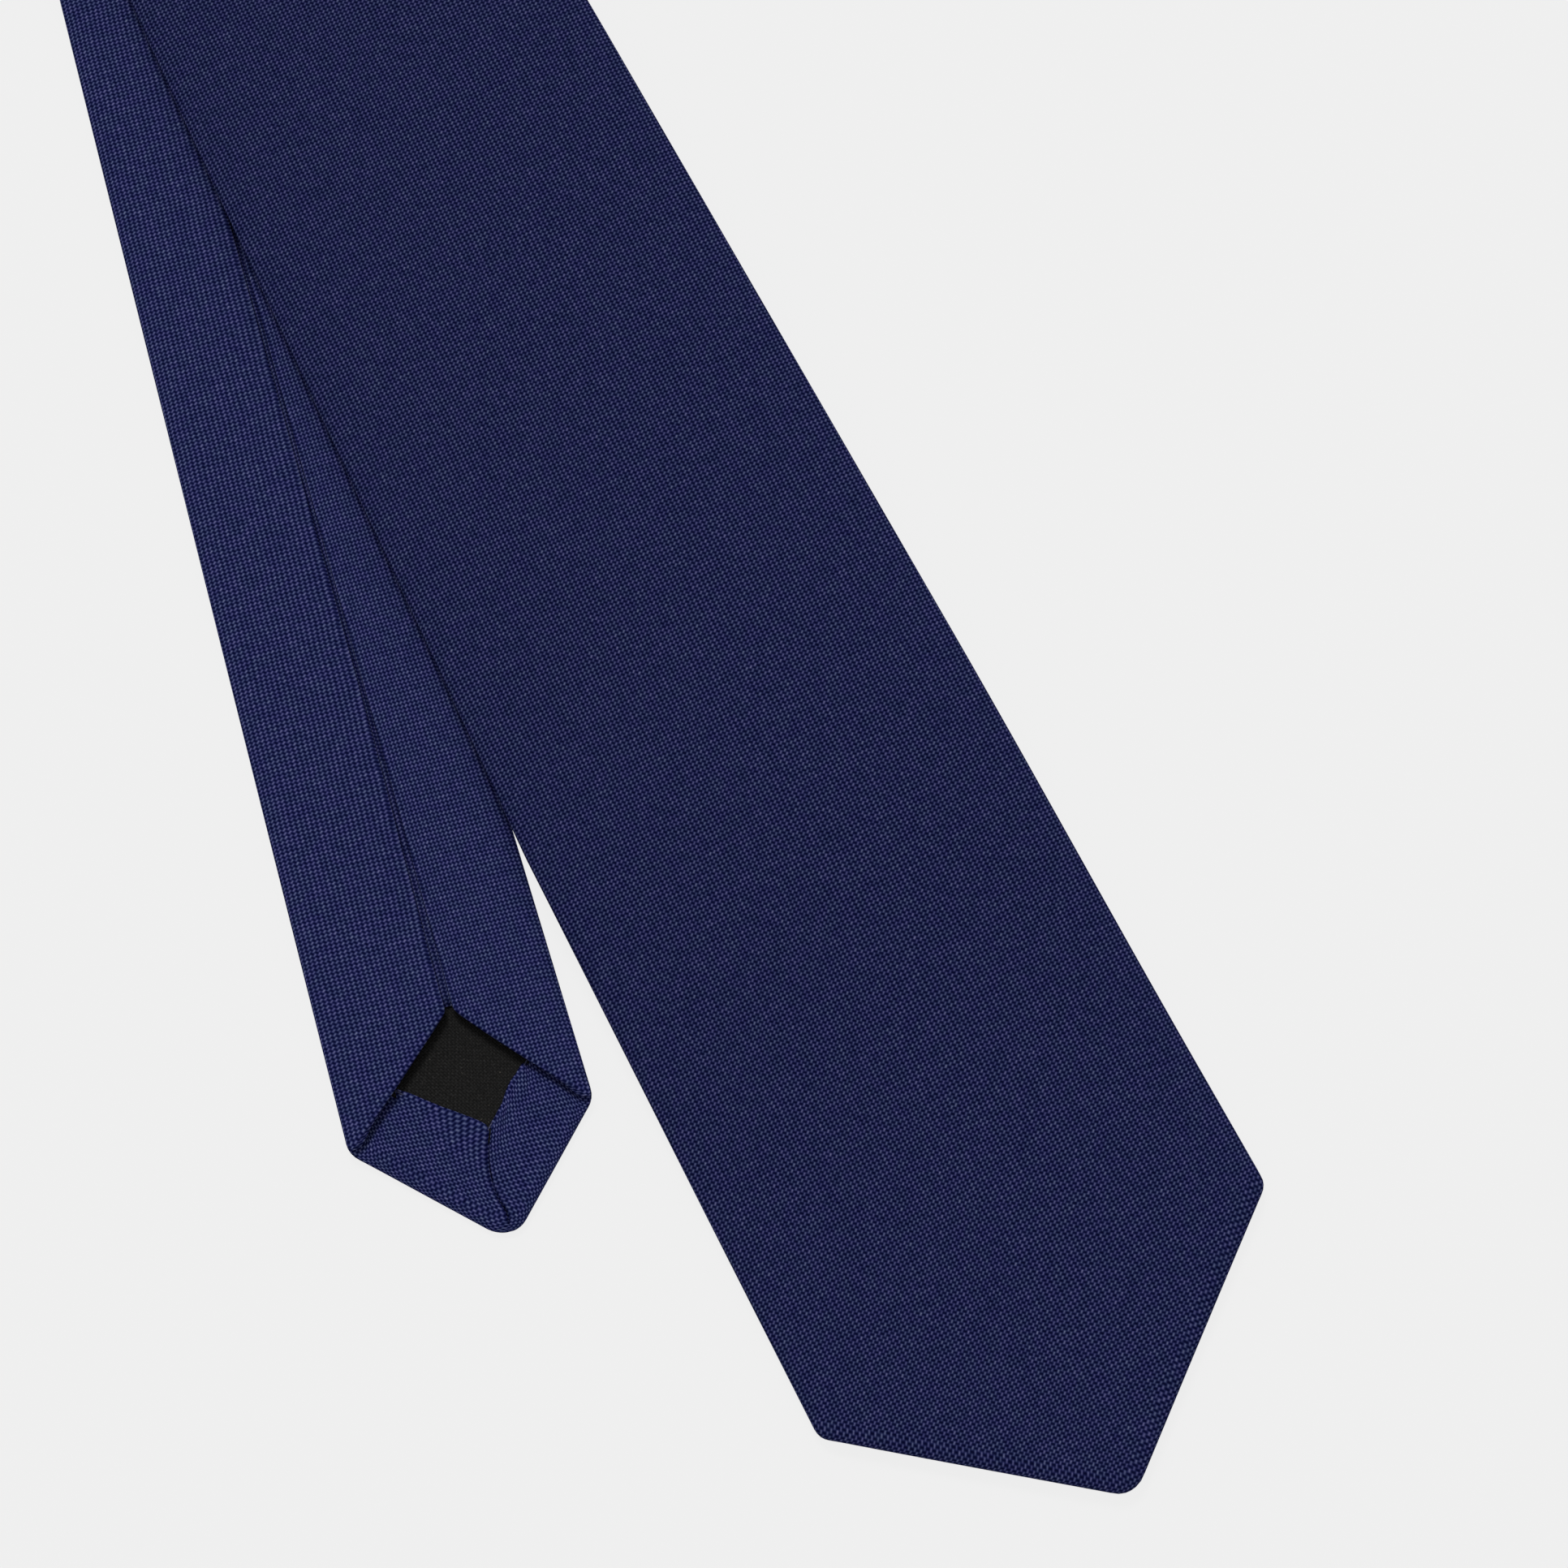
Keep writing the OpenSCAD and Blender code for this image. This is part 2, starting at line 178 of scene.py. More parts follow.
class Leg:
    """One leg of the tie: its outline, its point, and how its coordinates are laid in the plan.

    A hand-made, hand-laid leg isn't even. Its sides lean over by lean and its point is askew by
    skew. Its hem is turned in by hem_in beyond its pattern. Over BOW_S it gets narrower by bow on
    each side while its middle moves over by as much, and it is even again at its end. Where its
    flaps part they open by opening and lift by flap_lift, and uneven is how far its turned cloth
    and its centre seam stray."""

    def __init__(self, place, mirror, length, width, tip_len, taper, narrow_s, tip_r, shoulder_r,
                 seam_half, hem_in, facing, lean, skew, bow, opening, flap_lift, uneven):
        self.place = place
        self.mirror = mirror
        self.length = length
        self.half_w = width / 2 - EDGE_IN
        self.tip_len = tip_len
        self.taper = taper
        self.narrow_s = narrow_s
        self.tip_r = tip_r
        self.shoulder_r = shoulder_r
        self.seam_half = seam_half
        self.hem_in = hem_in
        self.facing = facing
        self.lean = lean
        self.skew = skew
        self.bow = bow
        self.opening = opening
        self.flap_lift = flap_lift
        self.uneven = uneven
        self.rise = tip_len / self.half_w
        self.cos = 1 / math.hypot(1, self.rise)
        self.sin = self.rise * self.cos
        self.apex = 2 * tip_len

    def bowed(self, s):
        """How far the leg's middle is moved over at s."""
        growing = np.clip((s - BOW_S[0]) / (BOW_S[1] - BOW_S[0]), 0, 1)
        return self.bow * growing * faded(s, BOW_S[1], self.length)

    def half(self, s):
        """Half the leg's width at s."""
        s = np.maximum(s, self.tip_len)
        straight = self.half_w - self.taper * (s - self.tip_len) / 2 - self.bowed(s)
        spare = self.half_w - self.taper * (self.length - self.tip_len) / 2 - NECK_HALF
        return straight - spare * smooth((s - self.narrow_s) / (self.length - self.narrow_s))

    def rounding(self, a):
        """How far the round tip and shoulders lift the hem off its straight lines, at a from the
        middle of the flat cloth."""
        a = np.abs(a)
        line = self.rise * a
        point = self.tip_r / self.cos - np.sqrt(np.maximum(self.tip_r**2 - a**2, 0))
        hem = np.where(a < self.tip_r * self.sin, point, line)
        turn = math.pi / 2 - math.atan(self.rise)
        r = self.shoulder_r
        tangent = r * math.tan(turn / 2)
        near = np.abs(a - self.half_w)
        top = self.rise * self.half_w + tangent
        corner = top - np.sqrt(np.maximum(r**2 - (r - near) ** 2, 0))
        corner = np.where(a <= self.half_w, corner, corner + 2 * self.rise * near)
        return np.where(near < tangent * self.cos, np.maximum(corner, hem), hem) - line

    def put(self, u, s, depth):
        """Points of the plan from the leg's own coordinates."""
        side = self.mirror * u
        lean = self.lean * faded(s, *LEAN_S)
        skew = self.skew * faded(s, *SKEW_S)
        across = side + lean * np.abs(side) / self.half_w + self.bowed(s)
        return self.place(across, s + skew * side, depth)


def front_z(s):
    """Underside of the front leg."""
    ramp = ON_TAIL_Z * smooth((s - RAMP_S[0]) / (RAMP_S[1] - RAMP_S[0]))
    return ramp + (AT_FOLD_Z - ON_TAIL_Z) * smooth((s - RISE_S[0]) / (RISE_S[1] - RISE_S[0]))


def place_front(u, s, depth):
    """The front leg is straight in the plan, and rises over the tail and to the neck fold."""
    return np.stack([u, s, front_z(s) + LEG_T - depth], -1)


TAIL_BEND_R = (-TAIL_TIP_AT[0] - TAIL_STRAIGHT * math.sin(TAIL_ANGLE)) / (1 - math.cos(TAIL_ANGLE))
TAIL_BEND = TAIL_BEND_R * TAIL_ANGLE
TAIL_BEND_Y = TAIL_TIP_AT[1] + TAIL_STRAIGHT * math.cos(TAIL_ANGLE)
TAIL_LEN = TAIL_STRAIGHT + TAIL_BEND + FOLD_S - TAIL_BEND_Y - TAIL_BEND_R * math.sin(TAIL_ANGLE)


def place_tail(u, s, depth):
    """The tail runs straight from its tip, bends gently and ends straight at the neck fold."""
    bent = np.clip(s - TAIL_STRAIGHT, 0, TAIL_BEND)
    w = TAIL_ANGLE - bent / TAIL_BEND_R
    ahead = np.maximum(s - TAIL_STRAIGHT - TAIL_BEND, 0)
    run = np.minimum(s, TAIL_STRAIGHT)
    x = TAIL_TIP_AT[0] + run * math.sin(TAIL_ANGLE) + ahead * np.sin(w) + u * np.cos(w)
    y = TAIL_TIP_AT[1] + run * math.cos(TAIL_ANGLE) + ahead * np.cos(w) - u * np.sin(w)
    x = x + TAIL_BEND_R * (np.cos(w) - math.cos(TAIL_ANGLE))
    y = y + TAIL_BEND_R * (math.sin(TAIL_ANGLE) - np.sin(w))
    return np.stack([x, y, depth + 0 * s], -1)


def place_fold(u, angle, depth):
    """The roll of the neck fold: angle runs from the tail's end, -90 degrees, to the front's."""
    r = FOLD_R - depth
    return np.stack([u, FOLD_S + r * np.cos(angle), FOLD_R + r * np.sin(angle)], -1)


BLADE = Leg(place_front, 1, FOLD_S, width=80.0, tip_len=31.7, taper=0.022, narrow_s=250.0,
            tip_r=4.0, shoulder_r=3.0, seam_half=SEAM_HALF, hem_in=0.0, facing=27.0, lean=1.4,
            skew=0.0475, bow=3.75, opening=0.3, flap_lift=0.0, uneven=0.4)
TAIL = Leg(place_tail, -1, TAIL_LEN, width=39.4, tip_len=19.7, taper=0.0304, narrow_s=230.0,
           tip_r=4.2, shoulder_r=4.0, seam_half=0.5, hem_in=0.8, facing=19.4, lean=-1.35,
           skew=-0.06, bow=0.0, opening=0.7, flap_lift=0.2, uneven=1.0)


# ---------------------------------------------------------------- the sleeve of cloth


def quarter(run, rise, count):
    """A quarter ellipse from its steep end: angles, and the length of the curve up to each."""
    angle = np.linspace(0, math.pi / 2, count)
    steps = np.hypot(np.diff(run * (1 - np.cos(angle))), np.diff(rise * np.sin(angle)))
    return angle, np.concatenate([[0], np.cumsum(steps)])


class Columns:
    """The lines that run along a leg, from the turned-under edge of its left flap, over the face,
    to that of its right flap. Across the leg, u = mul * (half width - SIDE_ROLL) + add."""

    def __init__(self, seam_half=SEAM_HALF):
        edge = seam_half + EDGE_ROLL
        angle, arc = quarter(SIDE_ROLL, (FLAP_D - FACE_D) / 2, ROLL_LINES)
        side = np.concatenate([self._face(), self._side(angle, arc), self._flap(edge, arc[-1]),
                               self._turned_edge(edge, arc[-1])], axis=1)
        both = np.concatenate([side[:, :0:-1], side], axis=1)
        self.mul, self.add, self.ws, self.turn, self.arc_mul, self.arc_add = both
        count = side.shape[1]
        self.sign = np.concatenate([-np.ones(count - 1), [0], np.ones(count - 1)])

    def _face(self):
        """From the face's middle line to where its side starts to roll."""
        k = np.concatenate([[0.0], np.linspace(0, 1, FACE_LINES + 1) ** 1.2])
        middle = CENTRE_HALF * (1 - k)
        middle[0] = 0.0
        return self._lines(k, middle, -1, 0, k, middle)

    def _side(self, angle, arc):
        """Round the rolled side, from the face to the flap."""
        add = SIDE_ROLL * np.cos(angle)
        down = slice(-2, None, -1)
        up = slice(1, None)
        to_side = self._lines(1, add[down], -np.sin(angle[down]), 0, 1, arc[-1] - arc[down])
        to_flap = self._lines(1, add[up], np.sin(angle[up]), 0, 1, arc[-1] + arc[up])
        return np.concatenate([to_side, to_flap], axis=1)

    def _flap(self, edge, whole):
        """Along a flap, to where its edge starts to turn under."""
        k = 1 - (1 - np.linspace(0, 1, FLAP_LINES + 1)[1:]) ** 1.3
        return self._lines(1 - k, k * edge, 1, 0, 1 + k, 2 * whole - k * edge)

    def _turned_edge(self, edge, whole):
        """Round the flap's edge at the centre seam and back under the flap."""
        turn = np.linspace(0, math.pi, 7)[1:]
        end = 2 * whole - edge
        arc = turn * (EDGE_ROLL + TURN_DROP / 2) / 2
        around = edge - EDGE_ROLL * np.sin(turn)
        turned = self._lines(0, around, 1, (1 - np.cos(turn)) / 2, 2, end + arc)
        under = np.linspace(0, TURNED_UNDER, 4)[1:]
        flat = self._lines(0, edge + under, 1, 1, 2, end + arc[-1] + under)
        return np.concatenate([turned, flat], axis=1)

    @staticmethod
    def _lines(*values):
        """One value of mul, add, ws, turn, arc_mul and arc_add for each line."""
        size = max(np.size(v) for v in values)
        return np.array([np.broadcast_to(v, size) for v in values], float)

    def across(self, half):
        """Distance from the middle line, for each row's half width."""
        return self.mul * (half - SIDE_ROLL) + self.add

    def along_cloth(self, half):
        """Distance from the face's middle line in the flat cloth."""
        return self.sign * (self.arc_mul * (half - SIDE_ROLL) + self.arc_add)

    def unfolded(self, half):
        """The same distance without the length of the rolls."""
        u = self.across(half)
        return np.where(self.ws <= 0, u, 2 * half - u + 2 * self.turn * EDGE_ROLL)


def layer_depth(ws, wt, turned):
    """Depth of the cloth: ws runs from -1 on the face to 1 on a flap, wt from 1 on the outside to
    -1 where a hem is turned in."""
    outer = (1 - ws) / 2 * FACE_D + (1 + ws) / 2 * FLAP_D
    inner = (1 - ws) / 2 * FACING_D + (1 + ws) / 2 * RETURN_D
    return (1 + wt) / 2 * outer + (1 - wt) / 2 * inner - TURN_DROP * turned


def ripple(u, s, seed):
    """Small unevenness of hand-made cloth, in millimetres, from -1 to 1."""
    a = np.sin(u / 5.3 + 1.7 * np.sin(s / 23.0 + seed) + seed)
    b = np.sin(s / 11.0 + 1.3 * np.sin(u / 9.0 + 2 * seed) + 0.7 * seed)
    c = np.sin((u + s) / 17.0 + seed * 1.9)
    return (a * b + c) / 2


def sleeve_rows(leg, face_share, roll, facing, outer_rows):
    """The rows of a sleeve, from its turned-in hem's inner edge, round the hem and up its outside.
    Each has its distance from the hem, its side (1 outside, -1 inside), how far it is turned
    under, its reach along the cloth from the hem's fold, and its share of the tip's point."""
    drop = (FLAP_D - RETURN_D) / 2 * (1 - face_share) + (FACING_D - FACE_D) / 2 * face_share
    whole = np.array([quarter(r, d, 9)[1][-1] for r, d in zip(roll, drop)])
    end_reach = whole + facing - roll
    rows = []

    def row(x, wt, turned, reach, point=1.0):
        values = (x, wt, turned, reach, point)
        rows.append([np.broadcast_to(value, face_share.shape) for value in values])

    for t in np.linspace(TURNED_UNDER * 0.7, 0, 4)[:-1]:
        row(facing - t, -1, 1, -(end_reach + EDGE_ROLL * 2 + t))
    for t in np.linspace(math.pi, 0, 7)[:-1]:
        around = EDGE_ROLL * math.sin(t)
        row(facing + around, -1, (1 - math.cos(t)) / 2, -(end_reach + t * EDGE_ROLL * 0.7))
    for k in np.linspace(1, 0, 21)[:-1]:
        row(roll + k * (facing - roll), -1, 0, -(whole + k * (facing - roll)))
    for t in np.linspace(math.pi / 2, -math.pi / 2, 15):
        row(roll * (1 - math.cos(t)), -math.sin(t), 0, -whole * t / (math.pi / 2))
    for r in outer_rows:
        row(r * leg.cos, 1, 0, r * leg.cos + whole - roll, faded(r, *POINT_S))
    return np.moveaxis(np.array(rows), 1, 0)


def sleeve(leg, seam_s, outer_rows, seed, puff):
    """A panel with a pointed, hemmed end, from its turned-in hem to its bias seam: points and
    flat pattern."""
    cols = Columns(leg.seam_half)
    a = cols.unfolded(leg.half_w)
    face_share = (1 - cols.ws) / 2
    roll = FLAP_ROLL + (HEM_ROLL - FLAP_ROLL) * face_share
    facing = leg.facing * leg.cos - EDGE_ROLL
    x, wt, turned_in, reach, point = sleeve_rows(leg, face_share, roll, facing, outer_rows)

    drawn_in = (leg.rounding(a) + leg.hem_in * face_share) * faded(x, 0.0, HEM_EASE)
    s = point * (leg.rise * np.abs(a) + drawn_in) + x / leg.cos
    bias = smooth((s - (seam_s - BIAS_START)) / BIAS_LEN) * (x > facing)
    s = s - cols.along_cloth(leg.half(s)) * bias
    half = leg.half(s)
    inside = np.maximum(-wt, 0)
    u = cols.sign * cols.across(half)
    u = u * (1 - INNER_INSET / half * inside * (np.abs(u) / half) ** 6)
    plan_side = leg.mirror * np.sign(u)

    on_flap = cols.ws > 0.99
    on_facing = inside * face_share
    across = np.clip((x - roll) / (facing - roll), 0, 1)
    depth = layer_depth(cols.ws, wt, np.maximum(cols.turn, turned_in))
    depth = depth + puff * (ripple(u, s, seed) - cols.ws) / 2 * (1 - np.abs(1 - np.abs(cols.ws)))
    depth = depth + on_facing * facing_relief(leg, u, s, across, plan_side)
    depth = depth + leg.flap_lift * np.exp(-np.maximum(x, 0) / 3.5) * np.maximum(cols.ws, 0)
    depth = depth - SEAM_SINK * np.exp(-((u / 2.5) ** 2)) * on_flap * (x > roll)

    opening = leg.opening * faded(s, leg.apex, leg.apex + OPENING_LEN) * np.exp(-np.abs(u) / 4.0)
    u = u + cols.sign * opening * (plan_side > 0) * on_flap
    drift = SEAM_DRIFT * leg.uneven * smooth((s - leg.apex) / DRIFT_LEN) * np.exp(-np.abs(u) / 6.0)
    u = u + leg.mirror * drift * on_flap
    sideways, lengthways = facing_drift(u, across, plan_side)
    u = u + leg.mirror * leg.uneven * sideways * on_facing
    s = s + leg.uneven * lengthways * on_facing

    out = x + np.abs(reach) + 2 * leg.cos * drawn_in * inside
    return leg.put(u, s, depth), sleeve_pattern(leg, cols.along_cloth(half), s, x, reach, out)


def sleeve_pattern(leg, along, s, x, reach, out):
    """The flat pattern of a sleeve. Its turned-in cloth is reflected in the hem, out from it."""
    is_in = reach < 0
    flat_x = np.where(is_in, along + np.sign(along) * out * leg.sin, along)
    flat_y = np.where(is_in, s - out * leg.cos, s + (reach - x) / leg.cos)
    return np.stack([flat_x, flat_y], -1)


def facing_relief(leg, u, s, across, plan_side):
    """The turned cloth swells a little between its seams, sinks into the mitre and under the
    ends of the flaps, and is pulled into small puckers where the lining is sewn on, more on its
    right half."""
    loose = np.where(plan_side > 0, 1.0, 0.4)
    swell = 0.3 * loose * np.sin(math.pi * across) ** 0.8 * (1 - np.exp(-((u / 2.5) ** 2)))
    pucker = 0.24 * loose * np.sin(u * 2.1 + 0.8 * np.sin(s)) * across**2
    mitre = MITRE_SINK * np.exp(-((u / 0.4) ** 2))
    before_flap = (leg.apex - leg.rise * np.abs(u) - s) * leg.cos
    under_flap = UNDER_FLAP_SINK * np.exp(-((np.maximum(before_flap, 0) / 1.6) ** 2))
    return swell + pucker - mitre - under_flap


def facing_drift(u, across, plan_side):
    """The mitre bends on its way from the tip to the lining's corner, which lies a little to the
    right, and the turned cloth's inner edge isn't quite straight."""
    bend = 1.3 * across**3 + 0.4 * (1 - across) - 0.9 * np.sin(math.pi * across)
    reach = np.where(plan_side > 0, 14.0, 6.0)
    sideways = bend * np.exp(-((u / reach) ** 2))
    left = -0.8 * across * smooth(np.abs(u) / 8.0)
    right = 0.3 * np.sin(0.9 * u + 0.5) * across**6
    return sideways, np.where(plan_side > 0, right, left)


def tube_of_cloth(leg, starts, end_s, count, seed, puff):
    """A panel without a hem: from its bias seam, which crosses the middle at starts, to end_s."""
    cols = Columns()
    k = np.linspace(0, 1, count)[:, None]
    slant = cols.along_cloth(leg.half(np.full(1, starts)))
    s = (starts - slant) * (1 - k) + end_s * k
    half = leg.half(s)
    u = cols.sign * cols.across(half)
    calm = 4 * k * (1 - k) * (1 - np.abs(1 - np.abs(cols.ws)))
    depth = layer_depth(cols.ws, 1.0, cols.turn)
    depth = depth + puff * (ripple(u, s, seed) - cols.ws) / 2 * calm
    return leg.put(u, s, depth), np.stack([cols.along_cloth(half), s], -1)


def fold_of_cloth(count):
    """The sleeve where it rolls over at the neck fold."""
    cols = Columns()
    angle = np.linspace(-math.pi / 2, math.pi / 2, count)[:, None]
    half = np.full((count, 1), NECK_HALF)
    u = cols.sign * cols.across(half)
    depth = layer_depth(cols.ws, 1.0, cols.turn) + 0 * angle
    flat = np.stack([cols.along_cloth(half), FOLD_R * angle + 0 * u], -1)
    return place_fold(u, angle, depth), flat


def inner_layer(leg, from_s, rows, inset, depth, edge_depth):
    """A flat layer inside a leg, pointed like its tip: points and flat pattern."""
    k = np.linspace(-1, 1, 41)
    r = np.maximum(rows, from_s)[:, None]
    slope = leg.rise * faded(r, *POINT_S)
    s = r + slope * np.abs(k) * (leg.half_w - inset)
    u = k * (leg.half(s) - inset)
    return leg.put(u, s, depth + (edge_depth - depth) * k**4 + 0 * s), np.stack([u, s], -1)


def fold_layer(depth, inset, count):
    """A flat layer where it rolls over at the neck fold."""
    k = np.linspace(-1, 1, 25)
    angle = np.linspace(-math.pi / 2, math.pi / 2, count)[:, None]
    u = k * (NECK_HALF - inset) + 0 * angle
    flat = np.stack([u, (FOLD_R - depth) * angle + 0 * u], -1)
    return place_fold(u, angle, depth + 0 * u), flat


# ---------------------------------------------------------------- meshes


def grid_mesh(name, points, flat, material):
    """A sheet from a grid of points, with its flat pattern in metres as its UV map."""
    rows, cols = points.shape[:2]
    index = np.arange(rows * cols).reshape(rows, cols)
    quads = np.stack([index[:-1, :-1], index[:-1, 1:], index[1:, 1:], index[1:, :-1]], -1)
    mesh = bpy.data.meshes.new(name)
    mesh.from_pydata(to_frame(points).reshape(-1, 3).tolist(), [], quads.reshape(-1, 4).tolist())
    layer = mesh.uv_layers.new(name="cloth")
    loops = np.empty(len(mesh.loops), np.int32)
    mesh.loops.foreach_get("vertex_index", loops)
    layer.data.foreach_set("uv", (flat.reshape(-1, 2)[loops] * MM).ravel())
    mesh.polygons.foreach_set("use_smooth", np.ones(len(mesh.polygons), bool))
    mesh.materials.append(material)
    piece = bpy.data.objects.new(name, mesh)
    bpy.context.scene.collection.objects.link(piece)
    return piece


def thicken(piece, thickness):
    """Gives a sheet its thickness, half to each side."""
    solid = piece.modifiers.new("thickness", "SOLIDIFY")
    solid.thickness = thickness * MM
    solid.offset = 0
    return piece


def cloth_piece(name, shape, material, thickness, nodes):
    """A sheet of cloth that stands for CAD nodes, which it hides."""
    points, flat = shape
    piece = thicken(grid_mesh(name, points, flat, material), thickness)
    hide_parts(*nodes)
    return piece


def tube(points, radius, sides=6):
    """Vertices and faces of a closed round tube along points."""
    along = np.gradient(points, axis=0)
    along /= np.linalg.norm(along, axis=1)[:, None]
    across = np.cross(along, [0.0, 0.0, 1.0])
    steep = np.linalg.norm(across, axis=1) < 0.05
    across[steep] = np.cross(along[steep], [1.0, 0.0, 0.0])
    across /= np.linalg.norm(across, axis=1)[:, None]
    up = np.cross(across, along)
    turn = np.linspace(0, 2 * math.pi, sides, endpoint=False)[None, :, None]
    ring = across[:, None] * np.cos(turn) + up[:, None] * np.sin(turn)
    vertices = (points[:, None] + radius * ring).reshape(-1, 3)
    faces = [tuple(range(sides)), tuple(range(len(vertices) - 1, len(vertices) - sides - 1, -1))]
    for i in range(len(points) - 1):
        for j in range(sides):
            a, b = i * sides + j, i * sides + (j + 1) % sides
            faces.append((a, a + sides, b + sides, b))
    return vertices, faces


def thread_piece(name, runs, nodes):
    """Stitches made of round thread, each run a line of plan points in millimetres."""
    vertices, faces = [], []
    for run in runs:
        start = sum(len(v) for v in vertices)
        made, joined = tube(np.asarray(run, float), THREAD_R)
        vertices.append(made)
        faces += [tuple(start + i for i in face) for face in joined]
    mesh = bpy.data.meshes.new(name)
    mesh.from_pydata(to_frame(np.concatenate(vertices)).tolist(), [], faces)
    mesh.polygons.foreach_set("use_smooth", np.ones(len(mesh.polygons), bool))
    mesh.materials.append(THREAD)
    piece = bpy.data.objects.new(name, mesh)
    bpy.context.scene.collection.objects.link(piece)
    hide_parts(*nodes)
    return piece


def stitch(leg, start, end, depth, lift):
    """One stitch between two (u, s) places of a leg, arched by lift away from depth."""
    t = np.linspace(0, 1, 7)
    u = start[0] + (end[0] - start[0]) * t
    s = start[1] + (end[1] - start[1]) * t
    return leg.put(leg.mirror * u, s, depth + lift * np.sin(math.pi * t))


# ---------------------------------------------------------------- materials


class Shader:
    """A material's nodes, with short calls for the sums that a pattern needs."""

    def __init__(self, name):
        self.material = bpy.data.materials.new(name)
        self.material.use_nodes = True
        self.tree = self.material.node_tree
        self.surface = self.tree.nodes["Principled BSDF"]

    def node(self, kind, **settings):
        made = self.tree.nodes.new(kind)
        for key, value in settings.items():
            setattr(made, key, value)
        return made

    def feed(self, socket, value):
        if isinstance(value, bpy.types.NodeSocket):
            self.tree.links.new(value, socket)
        else:
            socket.default_value = value

    def math(self, operation, *values):
        made = self.node("ShaderNodeMath", operation=operation)
        for socket, value in zip(made.inputs, values):
            self.feed(socket, value)
        return made.outputs[0]

    def ramp(self, value, from_low, from_high, to_low=0.0, to_high=1.0, kind="SMOOTHSTEP"):
        made = self.node("ShaderNodeMapRange", interpolation_type=kind)
        for socket, v in zip(made.inputs, (value, from_low, from_high, to_low, to_high)):
            self.feed(socket, v)
        return made.outputs[0]

    def mix(self, share, first, second, blend="MIX"):
        made = self.node("ShaderNodeMix", data_type="RGBA", blend_type=blend)
        self.feed(made.inputs[0], share)
        self.feed(made.inputs[6], first)
        self.feed(made.inputs[7], second)
        return made.outputs[2]

    def noise(self, vector, scale, detail=2.0):
        made = self.node("ShaderNodeTexNoise")
        self.feed(made.inputs["Vector"], vector)
        made.inputs["Scale"].default_value = scale
        made.inputs["Detail"].default_value = detail
        return made.outputs["Fac"]

    def join(self, *values):
        made = self.node("ShaderNodeCombineXYZ")
        for socket, value in zip(made.inputs, values):
            self.feed(socket, value)
        return made.outputs[0]

    def bump(self, height, distance, strength=1.0):
        made = self.node("ShaderNodeBump")
        made.inputs["Strength"].default_value = strength
        made.inputs["Distance"].default_value = distance
        self.feed(made.inputs["Height"], height)
        self.feed(self.surface.inputs["Normal"], made.outputs["Normal"])

    def fixed(self, **values):
        for name, value in values.items():
            self.surface.inputs[name.replace("_", " ")].default_value = value


def rgb(red, green, blue):
    """An opaque colour."""
    return (red, green, blue, 1.0)


def weave(shader, pitch, warp_angle, weft_angle, wander, slim=0.6):
    """A plain weave on the flat pattern. Returns its figure, from about 1 in the middle of a warp
    yarn that lies on top to -1 in that of a weft yarn, the height of the surface, the coordinates
    that follow the warp and the weft yarns, and the flat pattern's own. A larger slim makes the
    yarns look longer and thinner."""
    cloth = shader.node("ShaderNodeUVMap", uv_map="cloth").outputs[0]
    split = shader.node("ShaderNodeSeparateXYZ")
    shader.feed(split.inputs[0], cloth)
    x, y = split.outputs[0], split.outputs[1]
    sway = shader.math("SUBTRACT", shader.noise(cloth, 90.0), 0.5)
    x = shader.math("MULTIPLY_ADD", sway, wander, x)

    def count(angle):
        across = math.cos(angle) / pitch, -math.sin(angle) / pitch
        return shader.math("MULTIPLY_ADD", y, across[1], shader.math("MULTIPLY", x, across[0]))

    p = count(warp_angle)
    q = count(weft_angle)
    wave_p = shader.math("SINE", shader.math("MULTIPLY", p, math.pi))
    wave_q = shader.math("SINE", shader.math("MULTIPLY", q, math.pi))
    dome_p = shader.math("MULTIPLY", wave_p, wave_p)
    dome_q = shader.math("MULTIPLY", wave_q, wave_q)
    longer = shader.math("MULTIPLY", shader.math("SUBTRACT", dome_p, dome_q), slim)
    figure = shader.math("MULTIPLY_ADD", wave_p, wave_q, longer)
    height = shader.math("ADD", dome_p, dome_q)
    warp_way = shader.join(shader.math("FLOOR", p), shader.math("MULTIPLY", q, 0.45))
    weft_way = shader.join(shader.math("MULTIPLY", p, 0.22), shader.math("FLOOR", q))
    return figure, height, warp_way, weft_way, cloth


def navy_cloth(name, light):
    """Navy plain weave: light warp floats between dark weft, and yarns that vary a little. The
    argument light scales its whole colour, as painted light: a copy with a larger light is painted
    more brightly lit.
    """
    m = Shader(name)
    figure, height, warp_way, weft_way, cloth = weave(
        m, 0.0005, math.radians(47.0), math.radians(-48.0), 0.0006)
    warp = m.ramp(m.noise(warp_way, 1.3), 0.25, 0.75, -0.5, 0.5, "LINEAR")
    weft = m.ramp(m.noise(weft_way, 1.3), 0.25, 0.75, -0.3, 0.3, "LINEAR")
    glow = m.math("MULTIPLY_ADD", figure, 1.85, m.math("ADD", warp, weft))

    # dye scales every colour by light, which paints a copy of the cloth as more brightly lit
    def dye(level, share):
        return m.math("MULTIPLY", m.math("EXPONENT", m.math("MULTIPLY", glow, share)),
                      level * light)

    tone = m.ramp(m.noise(cloth, 420.0, 3.0), 0.35, 0.65)
    tint = m.mix(tone, rgb(1.05, 0.98, 1.05), rgb(0.95, 1.06, 0.95))
    colour = m.mix(1.0, m.join(dye(0.0115, 1.0), dye(0.0143, 0.925), dye(0.0615, 0.556)), tint,
                   "MULTIPLY")
    m.feed(m.surface.inputs["Base Color"], colour)
    m.feed(m.surface.inputs["Roughness"], m.ramp(height, 0.2, 2.0, 0.9, 0.7))
    m.fixed(Specular_IOR_Level=0.01, Sheen_Weight=0.0)
    m.bump(height, 0.00006, 0.5)
    return m.material


